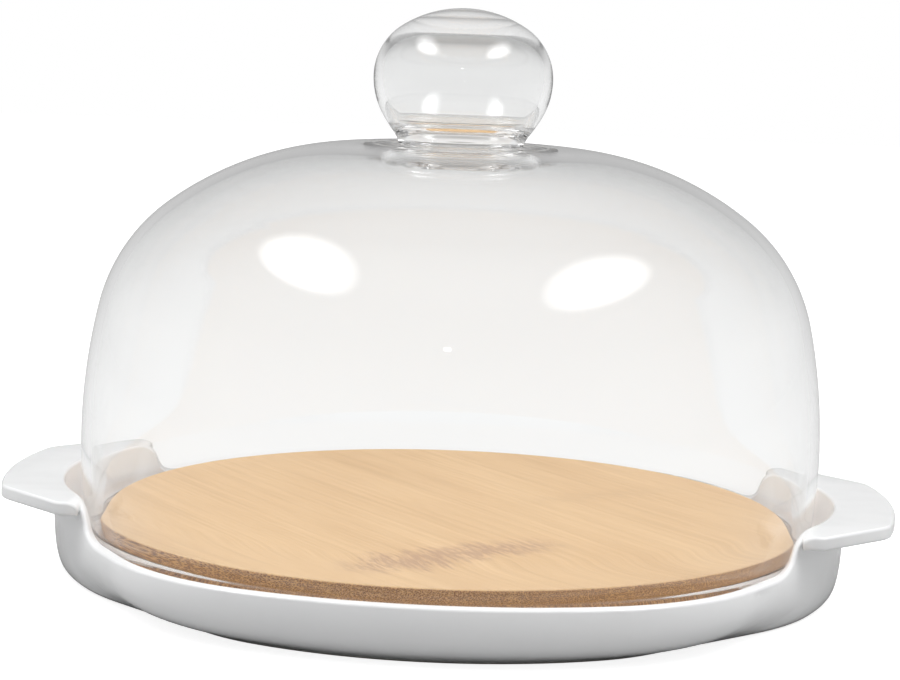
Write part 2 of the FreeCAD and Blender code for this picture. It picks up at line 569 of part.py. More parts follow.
def make_knob():
    """A round knob with a thick base, joined hot to the crown, and a bubble blown into it."""
    body = new_body("glass_knob")
    base = f"{GLASS_BOTTOM} + Sizes.dome_height"
    floor, top = size(base), size(f"{base} + Sizes.knob_height")
    belly = size(f"{base} + Sizes.knob_belly_height")
    widest, neck = size("Sizes.knob_radius"), size("Sizes.neck_radius")
    r_upper, r_lower = size("Sizes.knob_shoulder_curve"), size("Sizes.knob_lower_curve")
    r_neck, taper = size("Sizes.neck_round"), math.radians(size("Sizes.knob_taper"))

    sketch = new_sketch(body, "knob_profile", "XZ_Plane")
    upper, lower = (widest - r_upper, belly), (widest - r_lower, belly)
    r_top = cap_radius(upper, r_upper, top)
    lean = between((0, top - r_top), upper)
    low_end = (lower[0] + r_lower * math.cos(taper), belly - r_lower * math.sin(taper))
    neck_out = neck + r_neck * (1 - math.cos(taper))
    neck_up = low_end[1] - (low_end[0] - neck_out) / math.tan(taper)
    neck_centre = (neck + r_neck, neck_up - r_neck * math.sin(taper))
    top_arc = arc(sketch, (0, top - r_top), r_top, lean, UP)
    upper_arc = arc(sketch, upper, r_upper, 0, lean)
    lower_arc = arc(sketch, lower, r_lower, -taper, 0)
    cone = line(sketch, low_end, (neck_out, neck_up))
    neck_arc = arc(sketch, neck_centre, r_neck, LEFT - taper, LEFT)
    neck_line = line(sketch, (neck, neck_centre[1]), (neck, floor))
    joint = line(sketch, (neck, floor), (0, floor))
    axis = line(sketch, (0, floor), (0, top))
    tangent_chain(sketch, [(top_arc, END, START), (upper_arc, END, START), (lower_arc, END, START),
                           (cone, START, END), (neck_arc, START, END), (neck_line, START, END)])
    hold(sketch, "Coincident", neck_line, END, joint, START)
    hold(sketch, "Coincident", joint, END, axis, START)
    hold(sketch, "Coincident", axis, END, top_arc, END)
    place(sketch, top_arc, CENTRE, x="0")
    place(sketch, top_arc, END, x="0", y=f"{base} + Sizes.knob_height")
    place(sketch, upper_arc, CENTRE, x="Sizes.knob_radius - Sizes.knob_shoulder_curve",
          y=f"{base} + Sizes.knob_belly_height")
    hold(sketch, "Radius", upper_arc, by="Sizes.knob_shoulder_curve")
    hold(sketch, "Horizontal", upper_arc, CENTRE, lower_arc, CENTRE)
    hold(sketch, "Radius", lower_arc, by="Sizes.knob_lower_curve")
    hold(sketch, "Angle", cone, by="-90 - Sizes.knob_taper")
    hold(sketch, "Radius", neck_arc, by="Sizes.neck_round")
    hold(sketch, "Vertical", neck_line)
    hold(sketch, "Horizontal", joint)
    place(sketch, joint, START, x="Sizes.neck_radius", y=base)
    place(sketch, axis, START, x="0")
    revolve(body, "Revolution", "solid_knob", sketch)

    bubble = new_sketch(body, "bubble_profile", "XZ_Plane")
    side = widest - size("Sizes.knob_side_wall")
    roof, bed = top - size("Sizes.knob_top_wall"), floor + size("Sizes.knob_base_wall")
    b_lower, b_upper = size("Sizes.bubble_lower_curve"), size("Sizes.bubble_upper_curve")
    waist = bed + b_lower
    b_top = cap_radius((side - b_upper, waist), b_upper, roof)
    lean = between((0, roof - b_top), (side - b_upper, waist))
    roof_arc = arc(bubble, (0, roof - b_top), b_top, lean, UP)
    side_arc = arc(bubble, (side - b_upper, waist), b_upper, 0, lean)
    bed_arc = arc(bubble, (side - b_lower, waist), b_lower, -UP, 0)
    bed_line = line(bubble, (side - b_lower, bed), (0, bed))
    middle = line(bubble, (0, bed), (0, roof))
    tangent_chain(bubble, [(roof_arc, END, START), (side_arc, END, START), (bed_arc, END, START),
                           (bed_line, START, END)])
    hold(bubble, "Coincident", bed_line, END, middle, START)
    hold(bubble, "Coincident", middle, END, roof_arc, END)
    place(bubble, roof_arc, CENTRE, x="0")
    place(bubble, roof_arc, END, x="0", y=f"{base} + Sizes.knob_height - Sizes.knob_top_wall")
    place(bubble, side_arc, START, x="Sizes.knob_radius - Sizes.knob_side_wall")
    hold(bubble, "Horizontal", side_arc, CENTRE, side_arc, START)
    hold(bubble, "Radius", side_arc, by="Sizes.bubble_upper_curve")
    hold(bubble, "Radius", bed_arc, by="Sizes.bubble_lower_curve")
    hold(bubble, "Horizontal", bed_line)
    place(bubble, bed_line, END, x="0", y=f"{base} + Sizes.knob_base_wall")
    revolve(body, "Groove", "bubble", bubble)
    return body


# ---------------------------------------------------------------- build, check and write
BODIES = [make_tray(), make_board(), make_dome(), make_knob()]
doc.recompute()

for item in doc.Objects:
    if "Invalid" in item.State or "Error" in item.State:
        raise RuntimeError(f"{item.Name} failed: {item.State}")
for body in BODIES:
    if body.Shape.isNull() or not body.Shape.isValid() or len(body.Shape.Solids) != 1:
        raise RuntimeError(f"{body.Label} is not one valid solid")

solid_knob, hollow_knob = doc.getObject("solid_knob").Shape, doc.getObject("bubble").Shape
if hollow_knob.Volume > 0.9 * solid_knob.Volume:
    raise RuntimeError("the bubble cut nothing from the knob")

os.makedirs("parts", exist_ok=True)
for body in BODIES:
    body.Shape.exportStep(os.path.join("parts", body.Label + ".step"))
    print(body.Label, "volume", round(body.Shape.Volume / 1000, 1), "cm3")
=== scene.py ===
# %% [markdown]
# # Cheese dome
# A white glazed tray with two lug handles carries a round bamboo board, and a blown glass dome
# with a hollow knob stands round the board. The solids come first, as a frame that stays as it
# is. The cells below dress them: the glass, the bamboo, the glaze, and a plain white studio.

# %% Load the frame
import math

import bmesh
import bpy
from mathutils import Matrix, Vector


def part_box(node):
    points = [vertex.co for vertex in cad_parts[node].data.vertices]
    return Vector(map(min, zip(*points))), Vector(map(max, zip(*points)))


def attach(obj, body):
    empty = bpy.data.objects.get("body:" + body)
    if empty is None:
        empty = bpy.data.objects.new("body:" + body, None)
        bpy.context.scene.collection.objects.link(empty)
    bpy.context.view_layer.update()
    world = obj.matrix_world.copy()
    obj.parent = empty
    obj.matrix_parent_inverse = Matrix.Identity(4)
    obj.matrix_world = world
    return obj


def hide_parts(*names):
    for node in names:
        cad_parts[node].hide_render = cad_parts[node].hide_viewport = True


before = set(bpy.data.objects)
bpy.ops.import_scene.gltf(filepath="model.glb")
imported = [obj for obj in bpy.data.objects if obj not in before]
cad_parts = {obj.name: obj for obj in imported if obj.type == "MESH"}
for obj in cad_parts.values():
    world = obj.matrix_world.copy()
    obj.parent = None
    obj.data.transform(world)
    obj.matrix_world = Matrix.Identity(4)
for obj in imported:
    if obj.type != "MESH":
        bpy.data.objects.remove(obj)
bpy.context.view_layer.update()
dome_low, dome_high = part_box("glass_dome")
knob_low, knob_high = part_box("glass_knob")
board_low, board_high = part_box("bamboo_board")
MM = 0.001

# %% [markdown]
# ## Camera
# The object is seen from about the height of its knob, looking a little down, so that the
# board's far edge shows through the glass. A long lens keeps the dome round. The camera leans a
# little, which makes the tray look turned clockwise. It could be aimed with a Track To
# constraint, but a matrix built from three directions also holds the lean, and it leaves no
# constraint behind.

# %% Camera
SENSOR_WIDTH = 36
LENS = 101.5
CAMERA_TURN = math.radians(3.0)
CAMERA_DISTANCE = 0.8609
CAMERA_HEIGHT = board_high.z + 0.1747
CAMERA_PITCH = math.radians(7.65)
CAMERA_LEAN = math.radians(2.05)
AIM_ASIDE = math.radians(0.09)

camera = bpy.data.objects.new("camera", bpy.data.cameras.new("camera"))
bpy.context.scene.collection.objects.link(camera)
camera.data.sensor_width = SENSOR_WIDTH
camera.data.lens = LENS
yaw = -CAMERA_TURN - AIM_ASIDE
forward = Vector((math.sin(yaw) * math.cos(CAMERA_PITCH), math.cos(yaw) * math.cos(CAMERA_PITCH),
                  -math.sin(CAMERA_PITCH)))
level = Vector((math.cos(yaw), -math.sin(yaw), 0))
upright = level.cross(forward)
side = math.cos(CAMERA_LEAN) * level + math.sin(CAMERA_LEAN) * upright
top = math.cos(CAMERA_LEAN) * upright - math.sin(CAMERA_LEAN) * level
place = Vector((CAMERA_DISTANCE * math.sin(CAMERA_TURN), -CAMERA_DISTANCE * math.cos(CAMERA_TURN),
                CAMERA_HEIGHT))
turn = Matrix((side, top, -forward)).transposed().to_4x4()
camera.matrix_world = Matrix.Translation(place) @ turn
bpy.context.scene.camera = camera
print("camera stands", round(place.length, 3), "m from the origin")

# %% [markdown]
# ## Light paths
# Cycles stops a ray after a few bounces to save time. The wall of a glass ball leads light round
# inside itself, one mirroring after another, and a ray that is stopped on the way turns black: a
# dark ring in the knob. More bounces cost little here, because only the glass uses them.

# %% Light paths
ALL_BOUNCES = 24
GLASS_BOUNCES = 20

bpy.context.scene.view_settings.view_transform = "Standard"
light_paths = bpy.context.scene.cycles
light_paths.max_bounces = ALL_BOUNCES
light_paths.glossy_bounces = GLASS_BOUNCES
light_paths.transmission_bounces = GLASS_BOUNCES
print("bounces, all and in glass:", ALL_BOUNCES, GLASS_BOUNCES)

# %% [markdown]
# ## Material helpers
# Each finish below is a small tree of nodes. One helper starts the tree with its Principled
# shader, and another adds a node, sets its plain values and links its inputs, so that a cell
# reads as the list of what the finish is made of.


# %% Node helpers
def add_node(tree, kind, settings=None, **inputs):
    """A node of one kind, with its own options as settings.

    Each input is a value or another socket. Its name has _ for a space, or is n0, n1 and so on
    for the input with that number.
    """
    node = tree.nodes.new(kind)
    for name, value in (settings or {}).items():
        setattr(node, name, value)
    for name, value in inputs.items():
        key = int(name[1:]) if name[0] == "n" and name[1:].isdigit() else name.replace("_", " ")
        if isinstance(value, bpy.types.NodeSocket):
            tree.links.new(value, node.inputs[key])
        else:
            node.inputs[key].default_value = value
    return node


def new_finish(name):
    """A material with one Principled shader, its tree and that shader."""
    finish = bpy.data.materials.new(name)
    finish.use_nodes = True
    finish.node_tree.nodes.clear()
    tree = finish.node_tree
    shader = add_node(tree, "ShaderNodeBsdfPrincipled")
    output = add_node(tree, "ShaderNodeOutputMaterial")
    tree.links.new(shader.outputs["BSDF"], output.inputs["Surface"])
    return finish, tree, shader


def ramp(tree, factor, stops):
    """A colour ramp through (position, grey or colour) stops."""
    node = add_node(tree, "ShaderNodeValToRGB", n0=factor)
    while len(node.color_ramp.elements) < len(stops):
        node.color_ramp.elements.new(0.5)
    for element, (position, colour) in zip(node.color_ramp.elements, stops):
        element.position = position
        rgb = (colour,) * 3 if isinstance(colour, float) else colour
        element.color = (*rgb, 1)
    return node.outputs["Color"]


def maths(tree, operation, first, second=0.0, third=0.0):
    """A Math node's value."""
    node = add_node(tree, "ShaderNodeMath", {"operation": operation}, n0=first, n1=second, n2=third)
    return node.outputs["Value"]


def mixed(tree, factor, first, second, blend="MIX"):
    """Two colours mixed. The colours of a Mix node are its inputs 6 and 7."""
    node = add_node(tree, "ShaderNodeMix", {"data_type": "RGBA", "blend_type": blend})
    for index, value in ((0, factor), (6, first), (7, second)):
        if isinstance(value, bpy.types.NodeSocket):
            tree.links.new(value, node.inputs[index])
        else:
            node.inputs[index].default_value = (*value, 1) if isinstance(value, tuple) else value
    return node.outputs[2]


# %% [markdown]
# ## Studio
# Clear glass has no colour of its own: it looks like what it mirrors and what stands behind it,
# so the room is half of its finish. Light Path tells the rays apart, and each kind finds a room
# of its own. The camera sees plain white. A ray that has come through glass finds the far wall a
# trace greyer and the space overhead darker, which shades the crown and the knob. A mirrored ray
# finds a dim room, so that the glass and the glaze stay calm. All other rays carry the light
# that falls on the object, from a bright ceiling and bright walls at both sides.
#
# Two long softboxes hang over the object, left and right. Their cloth is brightest in its middle
# and fades to its edge, as a real one's does, so their mirror images in the glass end softly. A
# small lamp in front gives the glass its tiny glints.

# %% World
WHITE = (1.0, 1.0, 1.0)
CEILING = (1.05, 1.05, 1.05)
FAR_GREY = 0.92

world = bpy.data.worlds.new("studio")
bpy.context.scene.world = world
world.use_nodes = True
room = world.node_tree
room.nodes.clear()
direction = add_node(room, "ShaderNodeTexCoord").outputs["Generated"]
bearings = add_node(room, "ShaderNodeSeparateXYZ", Vector=direction)
height = bearings.outputs["Z"]
height_share = maths(room, "MULTIPLY_ADD", height, 0.5, 0.5)

side_walls = ramp(room, maths(room, "ABSOLUTE", bearings.outputs["X"]), [(0.3, 0.02), (0.95, 1.0)])
overhead = ramp(room, height, [(0.45, 0.0), (0.8, 1.0)])
lighting = mixed(room, overhead, side_walls, CEILING)
mirrored = ramp(room, height_share, [(0.0, 0.4), (0.5, 0.36), (0.6, 0.24), (0.8, 0.24), (1.0, 0.28)])
through_glass = ramp(room, height_share, [(0.5, FAR_GREY), (0.56, 0.84), (0.68, 0.42), (0.85, 0.34),
                                          (1.0, 0.6)])

path = add_node(room, "ShaderNodeLightPath")
whole_room = add_node(room, "ShaderNodeBackground", Color=lighting).outputs[0]
for ray, tone in (("Is Glossy Ray", mirrored), ("Is Transmission Ray", through_glass),
                  ("Is Camera Ray", (*WHITE, 1))):
    seen = add_node(room, "ShaderNodeBackground", Color=tone).outputs[0]
    whole_room = add_node(room, "ShaderNodeMixShader", n0=path.outputs[ray], n1=whole_room,
                          n2=seen).outputs[0]
add_node(room, "ShaderNodeOutputWorld", Surface=whole_room)
print("world nodes:", len(room.nodes))

# %% [markdown]
# ## Floor
# The floor is a wide sheet just under the tray. To the camera it glows almost white and still
# takes the object's shadow. Through the glass it is a white backdrop that turns greyer with
# distance, as the far wall of the room does, so that no line shows where the two meet.

# %% Floor
FLOOR_HALF = 3.0
FLOOR_DROP = 0.0002
FLOOR_GREY = (0.45, 0.45, 0.45)
BLACK = (0.0, 0.0, 0.0)
FLOOR_GLOW = 0.86

corners = [(FLOOR_HALF * x, FLOOR_HALF * y, -FLOOR_DROP)
           for x, y in ((-1, -1), (1, -1), (1, 1), (-1, 1))]
floor_mesh = bpy.data.meshes.new("floor")
floor_mesh.from_pydata(corners, [], [(0, 1, 2, 3)])
floor = bpy.data.objects.new("floor", floor_mesh)
bpy.context.scene.collection.objects.link(floor)

pale_floor, paint, floor_shader = new_finish("pale_floor")
floor_shader.inputs["Roughness"].default_value = 0.9
floor_shader.inputs["Specular IOR Level"].default_value = 0.0
floor_shader.inputs["Emission Color"].default_value = (*WHITE, 1)
ray_kind = add_node(paint, "ShaderNodeLightPath")
by_glass = ray_kind.outputs["Is Transmission Ray"]
paint.links.new(mixed(paint, by_glass, FLOOR_GREY, BLACK), floor_shader.inputs["Base Color"])
floor_spot = add_node(paint, "ShaderNodeTexCoord").outputs["Object"]
away = add_node(paint, "ShaderNodeVectorMath", {"operation": "LENGTH"}, n0=floor_spot).outputs["Value"]
backdrop = ramp(paint, maths(paint, "DIVIDE", away, FLOOR_HALF), [(0.12, 1.0), (0.7, FAR_GREY)])
glow = maths(paint, "MULTIPLY_ADD", ray_kind.outputs["Is Camera Ray"], FLOOR_GLOW,
             maths(paint, "MULTIPLY", by_glass, backdrop))
paint.links.new(glow, floor_shader.inputs["Emission Strength"])
floor_mesh.materials.append(pale_floor)
print("floor, m across:", 2 * FLOOR_HALF)

# %% Lights
CLOTH_FADE = [(0.0, 1.0), (0.2, 0.8), (0.36, 0.3), (0.5, 0.0)]
CLOTH_GAIN = 2.75
OVER = 1.1


def softbox(name, centre, aim, width, depth, watts):
    """A rectangular area light at centre that faces aim, and fades from its middle."""
    lamp = bpy.data.lights.new(name, "AREA")
    lamp.shape = "RECTANGLE"
    lamp.size = width
    lamp.size_y = depth
    lamp.energy = watts
    lamp.use_nodes = True
    cloth = lamp.node_tree
    spot_on_cloth = add_node(cloth, "ShaderNodeSeparateXYZ",
                             Vector=add_node(cloth, "ShaderNodeNewGeometry").outputs["Parametric"])
    squares = [maths(cloth, "POWER", maths(cloth, "ABSOLUTE", maths(
        cloth, "SUBTRACT", spot_on_cloth.outputs[axis], 0.5)), 2.0) for axis in ("X", "Y")]
    from_middle = maths(cloth, "SQRT", maths(cloth, "ADD", *squares))
    strength = maths(cloth, "MULTIPLY", ramp(cloth, from_middle, CLOTH_FADE), CLOTH_GAIN)
    cloth.links.new(strength, cloth.nodes["Emission"].inputs["Strength"])
    box = bpy.data.objects.new(name, lamp)
    bpy.context.scene.collection.objects.link(box)
    facing = (Vector(aim) - Vector(centre)).to_track_quat("-Z", "Y")
    box.matrix_world = Matrix.Translation(centre) @ facing.to_matrix().to_4x4()
    box.visible_camera = False


softbox("softbox_left", (-0.68, -0.19, OVER), (-0.68, -0.19, 0), 0.58, 1.05, 7.9)
softbox("softbox_right", (0.72, -0.27, OVER), (0.72, -0.27, 0), 0.6, 1.1, 7.9)
softbox("front_lamp", (0.03, -1.5, 0.72), (0, 0, 0.1), 0.07, 0.07, 0.3)

# %% [markdown]
# ## A lathe made of Geometry Nodes
# The dome, the knob and the board are all turned forms: one profile goes round an upright axis.
# A Spin or a Screw modifier could do that. This tree does it by rule instead: it lays out a grid
# with a column for each profile point and a row for each step round, reads each point's place by
# its index, and turns it by its row's share of a full circle. Merging the doubles closes the seam
# and both poles.

# %% Lathe tree
lathe = bpy.data.node_groups.new("lathe", "GeometryNodeTree")
for name, kind in (("Profile", "NodeSocketGeometry"), ("Steps around", "NodeSocketInt"),
                   ("Faces out", "NodeSocketBool"), ("Finish", "NodeSocketMaterial")):
    lathe.interface.new_socket(name, in_out="INPUT", socket_type=kind)
lathe.interface.new_socket("Turned form", in_out="OUTPUT", socket_type="NodeSocketGeometry")
given = add_node(lathe, "NodeGroupInput")
profile, steps_around = given.outputs["Profile"], given.outputs["Steps around"]
points = add_node(lathe, "GeometryNodeAttributeDomainSize", {"component": "MESH"},
                  Geometry=profile).outputs["Point Count"]
rows = maths(lathe, "ADD", steps_around, 1.0)
grid = add_node(lathe, "GeometryNodeMeshGrid", Vertices_X=rows, Vertices_Y=points).outputs["Mesh"]
index = add_node(lathe, "GeometryNodeInputIndex").outputs[0]
row = maths(lathe, "FLOOR", maths(lathe, "DIVIDE", maths(lathe, "ADD", index, 0.5), points))
column = maths(lathe, "SUBTRACT", index, maths(lathe, "MULTIPLY", row, points))
spot = add_node(lathe, "GeometryNodeInputPosition").outputs[0]
sample = add_node(lathe, "GeometryNodeSampleIndex", {"data_type": "FLOAT_VECTOR"},
                  Geometry=profile, Value=spot, Index=column).outputs[0]
share = maths(lathe, "DIVIDE", row, steps_around)
turned = add_node(lathe, "ShaderNodeVectorRotate", {"rotation_type": "Z_AXIS"}, Vector=sample,
                  Angle=maths(lathe, "MULTIPLY", share, math.tau)).outputs[0]
wall = add_node(lathe, "GeometryNodeSetPosition", Geometry=grid, Position=turned).outputs[0]
wall = add_node(lathe, "GeometryNodeMergeByDistance", Geometry=wall, Distance=1e-7).outputs[0]
wall = add_node(lathe, "GeometryNodeFlipFaces", Mesh=wall,
                Selection=given.outputs["Faces out"]).outputs[0]
wall = add_node(lathe, "GeometryNodeSetShadeSmooth", Geometry=wall).outputs[0]
wall = add_node(lathe, "GeometryNodeRealizeInstances", Geometry=wall).outputs[0]
wall = add_node(lathe, "GeometryNodeSetMaterial", Geometry=wall,
                Material=given.outputs["Finish"]).outputs[0]
add_node(lathe, "NodeGroupOutput", n0=wall)
print("lathe nodes:", len(lathe.nodes))


# %% Running the lathe
def run_tree(name, start, tree, settings):
    """The plain mesh that a Geometry Nodes tree makes from a starting mesh."""
    maker = bpy.data.objects.new(name + "_maker", start)
    bpy.context.scene.collection.objects.link(maker)
    modifier = maker.modifiers.new(tree.name, "NODES")
    modifier.node_group = tree
    sockets = {item.name: item.identifier for item in tree.interface.items_tree
               if item.item_type == "SOCKET" and item.in_out == "INPUT"}
    for label, value in settings.items():
        modifier[sockets[label]] = value
    view = maker.evaluated_get(bpy.context.evaluated_depsgraph_get())
    made = bpy.data.meshes.new_from_object(view)
    maker.modifiers.clear()
    bpy.data.objects.remove(maker)
    made.name = name
    return made


def turn_profile(name, outline, finish, steps, faces_out=True):
    """A closed turned form from (radius, height) points that start and end on the axis."""
    line = bpy.data.meshes.new(name + "_outline")
    line.from_pydata([(radius, 0, height) for radius, height in outline],
                     [(i, i + 1) for i in range(len(outline) - 1)], [])
    return run_tree(name, line, lathe, {"Steps around": steps, "Faces out": faces_out,
                                        "Finish": finish})


# %% Measuring and drawing helpers
def volume(mesh):
    """The volume that a closed mesh holds, in cubic millimetres: negative if it is inside out."""
    total = 0.0
    mesh.calc_loop_triangles()
    for triangle in mesh.loop_triangles:
        a, b, c = (mesh.vertices[i].co for i in triangle.vertices)
        total += a.dot(b.cross(c)) / 6
    return total / MM ** 3


def arc(centre, radius, first, last, steps):
    """Points along an arc of a profile, from angle first to angle last, in radians."""
    return [(centre[0] + radius * math.cos(first + (last - first) * i / steps),
             centre[1] + radius * math.sin(first + (last - first) * i / steps))
            for i in range(steps + 1)]


def bearing(start, end):
    """Angle of the line from one point to another."""
    return math.atan2(end[1] - start[1], end[0] - start[0])


def smooth_step(value):
    """0 below 0, 1 above 1, and an even S between them."""
    value = min(max(value, 0.0), 1.0)
    return value * value * (3 - 2 * value)


# %% [markdown]
# ## Clear glass
# The real glass is colourless, with a polished surface. A Principled shader with full
# transmission bends and mirrors light as soda-lime glass does. The knob's glass is thicker, and
# looks a shade greyer for it. The knob is joined to the crown along the ring of its hollow foot
# while both are hot. There is no air in that ring, so both its faces get a fully see-through
# finish, and light passes from one piece to the other unbent.

# %% Glass finishes
clear_glass, _, glass = new_finish("clear_glass")
glass.inputs["Base Color"].default_value = (0.985, 0.988, 0.987, 1)
glass.inputs["Roughness"].default_value = 0.0
glass.inputs["IOR"].default_value = 1.48
glass.inputs["Transmission Weight"].default_value = 1.0

thick_glass = clear_glass.copy()
thick_glass.name = "thick_glass"
thick_shader = next(node for node in thick_glass.node_tree.nodes if node.type == "BSDF_PRINCIPLED")
thick_shader.inputs["Base Color"].default_value = (0.945, 0.948, 0.947, 1)

hot_joint = bpy.data.materials.new("hot_joint")
hot_joint.use_nodes = True
hot_joint.node_tree.nodes.clear()
pass_through = add_node(hot_joint.node_tree, "ShaderNodeBsdfTransparent", Color=(*WHITE, 1))
add_node(hot_joint.node_tree, "ShaderNodeOutputMaterial", Surface=pass_through.outputs[0])
print("glass finishes:", [finish.name for finish in (clear_glass, thick_glass, hot_joint)])

# %% [markdown]
# ## Glass dome
# The dome is blown, so its wall keeps one thickness from the belly to the crown. Its profile is
# three arcs: a nearly upright wall, a tight shoulder and a flat crown. The wall thins a little
# towards the rim, and a flame draws the rim itself into a small bead. Under the knob the glass
# was gathered thicker, and it cooled with shallow rings. Bead and rings are in the mesh, because
# glass shows its shape by how it bends what lies behind, and a bump map would not move that.

# %% Dome sizes
GLASS = 3.2 * MM
DOME_RADIUS = dome_high.x
BELLY = dome_low.z + 32.6 * MM
WALL_CURVE = 200 * MM
SHOULDER_CURVE = 60 * MM
CROWN_CURVE = 109 * MM
CROWN_FLAT = 32.7 * MM
JOINT_RADIUS = 20.2 * MM
JOINT_INSIDE = JOINT_RADIUS - 2.5 * MM
AROUND = 256
crown_z = dome_high.z
wall_centre = (DOME_RADIUS - WALL_CURVE, BELLY)
crown_centre = (CROWN_FLAT, crown_z - CROWN_CURVE)


def meeting(first, first_reach, second, second_reach):
    """The upper of the two points at the given distances from two centres."""
    gap = math.dist(first, second)
    along = (first_reach ** 2 - second_reach ** 2 + gap ** 2) / (2 * gap)
    aside = math.sqrt(first_reach ** 2 - along ** 2)
    way = ((second[0] - first[0]) / gap, (second[1] - first[1]) / gap)
    both = [(first[0] + along * way[0] - hand * aside * way[1],
             first[1] + along * way[1] + hand * aside * way[0]) for hand in (1, -1)]
    return max(both, key=lambda point: point[1])


shoulder_centre = meeting(wall_centre, WALL_CURVE - SHOULDER_CURVE,
                          crown_centre, CROWN_CURVE - SHOULDER_CURVE)
to_shoulder = bearing(wall_centre, shoulder_centre)
to_crown = bearing(crown_centre, shoulder_centre)
print("shoulder starts at, degrees:", round(math.degrees(to_shoulder), 1))

# %% Wall and rim
RIM_WALL = 2.4 * MM
THIN_FROM, THIN_OVER = 18 * MM, 12 * MM
BEAD = 1.75 * MM
SWELL_FROM, SWELL_OVER = 5.2 * MM, 2.6 * MM
WALL_STEPS = 64
rim_reach = WALL_CURVE - RIM_WALL / 2
rim_angle = math.asin((dome_low.z + BEAD - wall_centre[1]) / rim_reach)
bead_centre = (wall_centre[0] + rim_reach * math.cos(rim_angle), dome_low.z + BEAD)


def wall_line(outside):
    """The wall's outer or inner line, from the shoulder down to the bead, with closer points there."""
    line = []
    for step in range(WALL_STEPS + 1):
        share = 1 - (1 - step / WALL_STEPS) ** 2
        angle = to_shoulder + (rim_angle - to_shoulder) * share
        rise = wall_centre[1] + rim_reach * math.sin(angle) - dome_low.z
        wall = GLASS - (GLASS - RIM_WALL) * smooth_step((THIN_FROM - rise) / THIN_OVER)
        swell = (BEAD - RIM_WALL / 2) * smooth_step((SWELL_FROM - rise) / SWELL_OVER)
        reach = WALL_CURVE + swell if outside else WALL_CURVE - wall - swell
        line.append((wall_centre[0] + reach * math.cos(angle),
                     wall_centre[1] + reach * math.sin(angle)))
    return line


print("rim wall and bead, mm:", round(RIM_WALL / MM, 2), round(2 * BEAD / MM, 2))

# %% Crown underside
CROWN_THICKNESS = 6 * MM
THICK_OVER = 13 * MM
RING_PITCH = 6.4 * MM
RING_HEIGHT = 0.55 * MM
RINGS_FROM, RINGS_RISE = 5 * MM, 8 * MM
RINGS_TO, RINGS_FALL = 34 * MM, 5 * MM
UNDER_STEPS = 66


def crown_underside(radius):
    """Height of the crown's inner surface: thicker towards the knob, with shallow rings."""
    thick = smooth_step((CROWN_FLAT - radius) / THICK_OVER)
    fade_in = smooth_step((radius - RINGS_FROM) / RINGS_RISE)
    fade_out = smooth_step((RINGS_TO - radius) / RINGS_FALL)
    ring = RING_HEIGHT * math.sin(math.tau * radius / RING_PITCH) * fade_out * fade_in
    return crown_z - GLASS - (CROWN_THICKNESS - GLASS) * thick + ring


under_radii = [CROWN_FLAT * (1 - i / UNDER_STEPS) for i in range(UNDER_STEPS + 1)]
print("glass under the knob, mm:", round((crown_z - crown_underside(0)) / MM, 2))

# %% Dome profile
dome_outline = [(0, crown_z), (0.5 * JOINT_INSIDE, crown_z), (JOINT_INSIDE, crown_z),
                (JOINT_RADIUS, crown_z), (0.5 * (JOINT_RADIUS + CROWN_FLAT), crown_z)]
dome_outline += arc(crown_centre, CROWN_CURVE, math.pi / 2, to_crown, 36)
dome_outline += arc(shoulder_centre, SHOULDER_CURVE, to_crown, to_shoulder, 40)[1:]
dome_outline += wall_line(True)[1:]
dome_outline += arc(bead_centre, BEAD, rim_angle, rim_angle - math.pi, 16)[1:-1]
dome_outline += wall_line(False)[::-1]
dome_outline += arc(shoulder_centre, SHOULDER_CURVE - GLASS, to_shoulder, to_crown, 30)[1:]
dome_outline += arc(crown_centre, CROWN_CURVE - GLASS, to_crown, math.pi / 2, 24)[1:-1]
dome_outline += [(radius, crown_underside(radius)) for radius in under_radii]
print("dome profile points:", len(dome_outline))

# %% Dome mesh
SAME = 0.001 * MM


def open_joint(mesh, height):
    """Give the ring where knob and crown are joined the see-through finish, and count its faces."""
    mesh.materials.append(hot_joint)
    joint_faces = 0
    nearest, farthest = JOINT_INSIDE - SAME, JOINT_RADIUS + SAME
    for face in mesh.polygons:
        spots = [mesh.vertices[i].co for i in face.vertices]
        if all(abs(co.z - height) < SAME and nearest < co.xy.length < farthest for co in spots):
            face.material_index = len(mesh.materials) - 1
            joint_faces += 1
    return joint_faces


def add_piece(name, mesh, body, slot, *nodes):
    """Show a mesh as a piece of the object that rides on a body and stands for CAD nodes."""
    piece = bpy.data.objects.new(name, mesh)
    bpy.context.scene.collection.objects.link(piece)
    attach(piece, body)
    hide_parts(*nodes)
    return piece


dome_mesh = turn_profile("blown_dome", dome_outline, clear_glass, AROUND)
print("dome volume, mm3:", round(volume(dome_mesh)), "joint faces:", open_joint(dome_mesh, crown_z))
blown_dome = add_piece("blown_dome", dome_mesh, "dome", "clear_glass", "glass_dome")

# %% [markdown]
# ## Glass knob
# The knob is a flattened ball on a tapered neck, with a hollow foot. A scaled sphere would do
# from afar, but arcs that meet smoothly give the shoulder, the taper and the neck curves of their
# own. A bubble is blown into the ball. It sits a little higher, so the wall round it gets thicker
# towards the neck, and its bed has a slight punt. Outside and bubble are two separate shells of
# one mesh. The bubble's faces point into its air, so that the shader knows on which side the
# glass is.

# %% Knob outside
KNOB_RADIUS = knob_high.x
KNOB_BELLY = knob_low.z + 22.7 * MM
KNOB_SHOULDER = 20.5 * MM
KNOB_LOWER = 26 * MM
KNOB_TAPER = math.radians(34)
NECK_RADIUS = 21.3 * MM
NECK_CURVE = 3 * MM
NECK_FOOT = NECK_RADIUS - JOINT_RADIUS
FOOT_HOLLOW = 0.25 * MM


def cap_radius(centre, radius, height):
    """Radius of the arc that is centred on the axis, tops out at height and wraps a given arc."""
    rise = height - centre[1]
    return (centre[0] ** 2 + rise ** 2 - radius ** 2) / (2 * (rise - radius))


